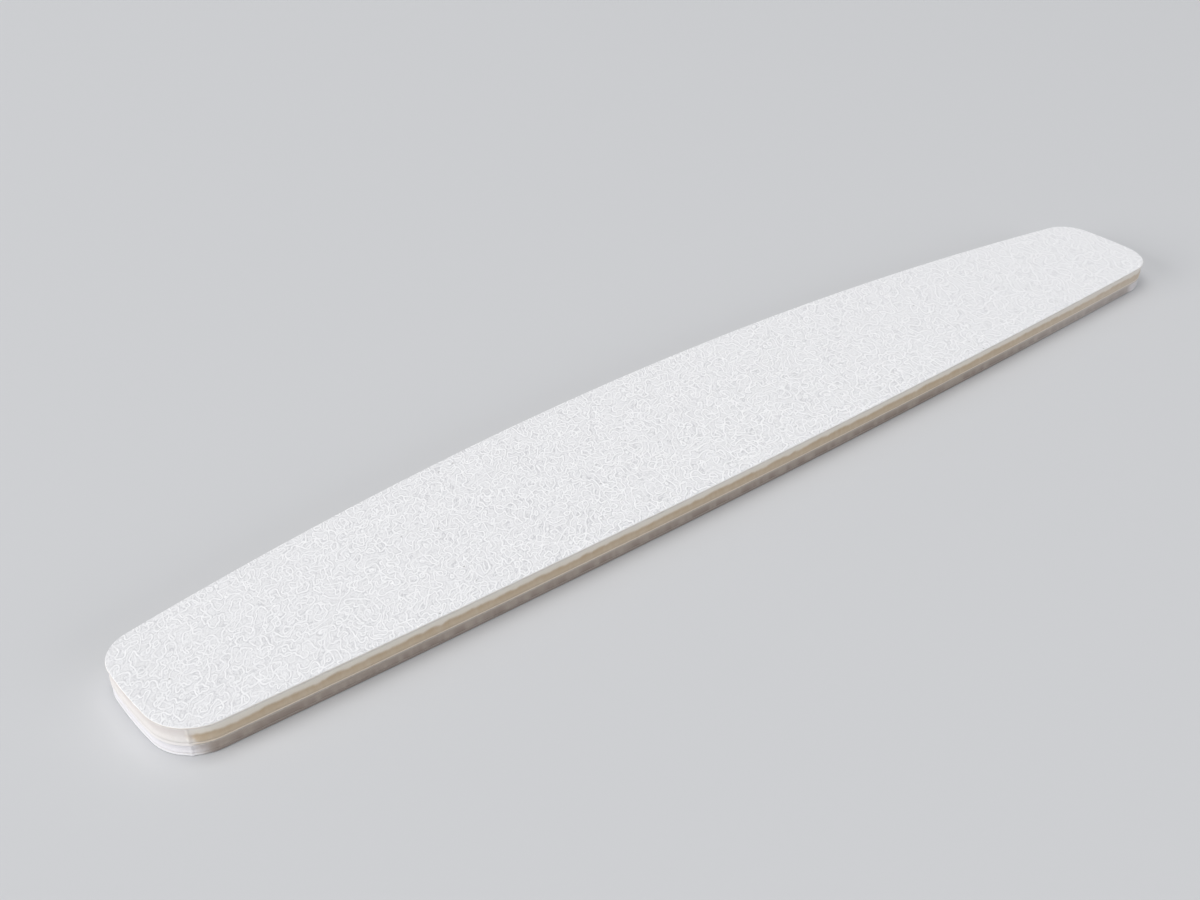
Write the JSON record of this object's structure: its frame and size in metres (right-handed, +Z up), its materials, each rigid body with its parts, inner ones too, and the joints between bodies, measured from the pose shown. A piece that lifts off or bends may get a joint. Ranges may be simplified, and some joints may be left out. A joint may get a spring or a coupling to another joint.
{
  "type": "emery board",
  "caption": "Half-moon emery board: abrasive sheets bonded over foam pads on a thin core board, for shaping and smoothing nails by hand.",
  "frame": {"origin": "centre of the bottom face's bounding box, on the surface that the board lies on", "axes": "+X along the length, +Y across the width towards the bowed long edge, +Z up through the layers"},
  "size_m": [0.178, 0.028, 0.0042],
  "materials": {
    "abrasive": "fine white mineral grains in resin, with short curling ridges and small sparkles",
    "backing_paper": "smooth white latex paper, cut edge only on show",
    "adhesive": "clear acrylic film, cut edge only on show",
    "upper_foam": "closed-cell foam, cream near the sheet and tan lower down, fine-pored cut edge",
    "lower_foam": "closed-cell foam, greyish beige, fine-pored cut edge",
    "core": "off-white polystyrene sheet, cut edge only on show"
  },
  "bodies": {
    "root": {"bottom_abrasive_coat": "abrasive", "bottom_backing_paper": "backing_paper", "bottom_paper_adhesive": "adhesive", "lower_foam_pad": "lower_foam", "lower_core_adhesive": "adhesive", "core_board": "core", "upper_core_adhesive": "adhesive", "upper_foam_pad": "upper_foam", "top_paper_adhesive": "adhesive", "top_backing_paper": "backing_paper", "top_abrasive_coat": "abrasive"}
  },
  "joints": []
}
